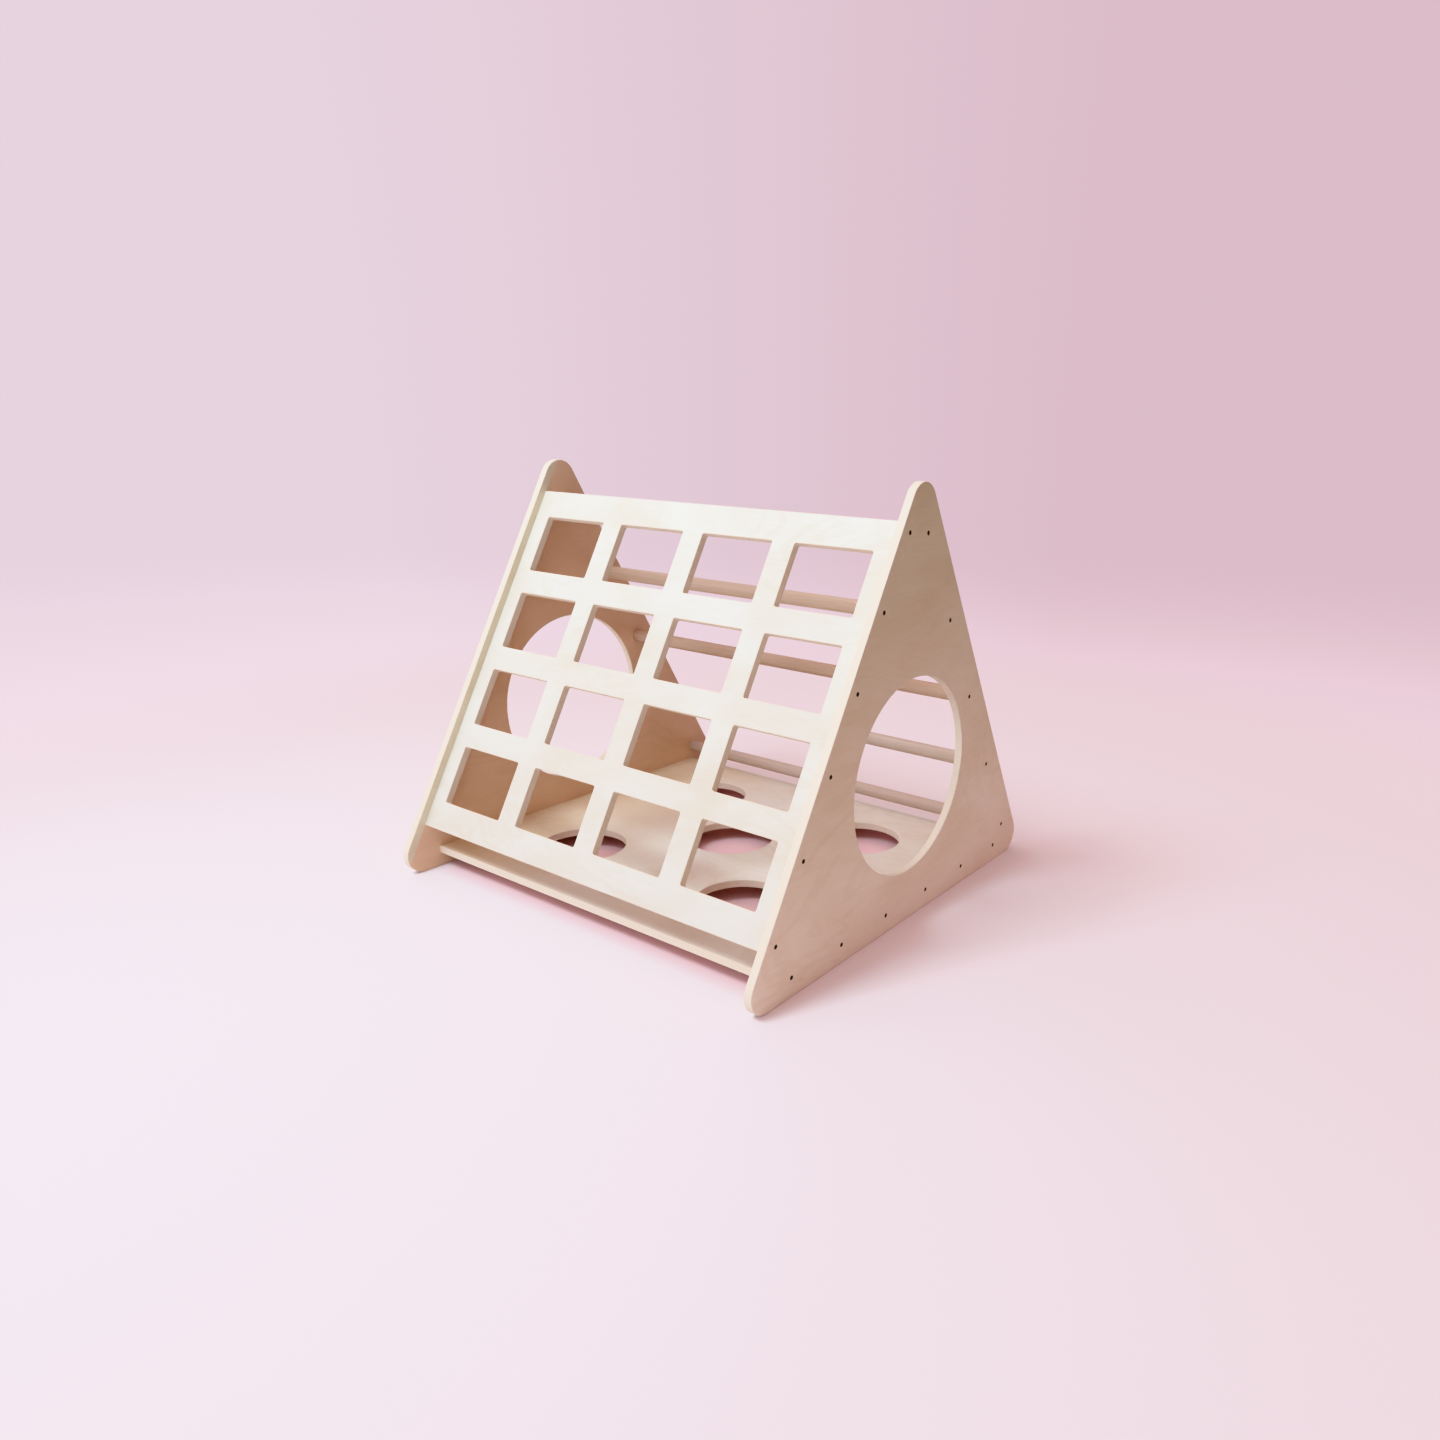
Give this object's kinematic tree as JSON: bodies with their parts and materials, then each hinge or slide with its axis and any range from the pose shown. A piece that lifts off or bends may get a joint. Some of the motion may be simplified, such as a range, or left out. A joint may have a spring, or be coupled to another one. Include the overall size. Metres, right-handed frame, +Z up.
{
  "type": "toddler climbing triangle",
  "caption": "Free-standing plywood climbing triangle: windowed climbing grid in front, rung ladder behind, round crawl holes through the sides and a holed floor panel.",
  "frame": {"origin": "on the ground, at the centre of the footprint, halfway between the two side panels and halfway between their front and rear corners", "axes": "+X runs across the width, from the left side panel to the right one as seen from the front; the climbing grid faces -Y, upwards and forwards; the rung ladder faces +Y; +Z is up"},
  "size_m": [1.036, 1.0338, 0.9076],
  "materials": {
    "birch_plywood": "sanded birch plywood with a clear matt oil, dark and light ply lines on the cut edges",
    "birch_dowel": "sanded solid birch dowel, clear matt oil",
    "dark_screw": "dark brown coated countersunk wood screw, satin"
  },
  "bodies": {
    "root": {"left_side_panel": "birch_plywood", "right_side_panel": "birch_plywood", "climbing_grid_panel": "birch_plywood", "floor_panel": "birch_plywood", "rung_1": "birch_dowel", "rung_2": "birch_dowel", "rung_3": "birch_dowel", "rung_4": "birch_dowel", "rung_5": "birch_dowel", "grid_screws_left": "dark_screw", "grid_screws_right": "dark_screw", "floor_screws_left": "dark_screw", "floor_screws_right": "dark_screw", "rung_1_screws": "dark_screw", "rung_2_screws": "dark_screw", "rung_3_screws": "dark_screw", "rung_4_screws": "dark_screw", "rung_5_screws": "dark_screw"}
  },
  "joints": []
}
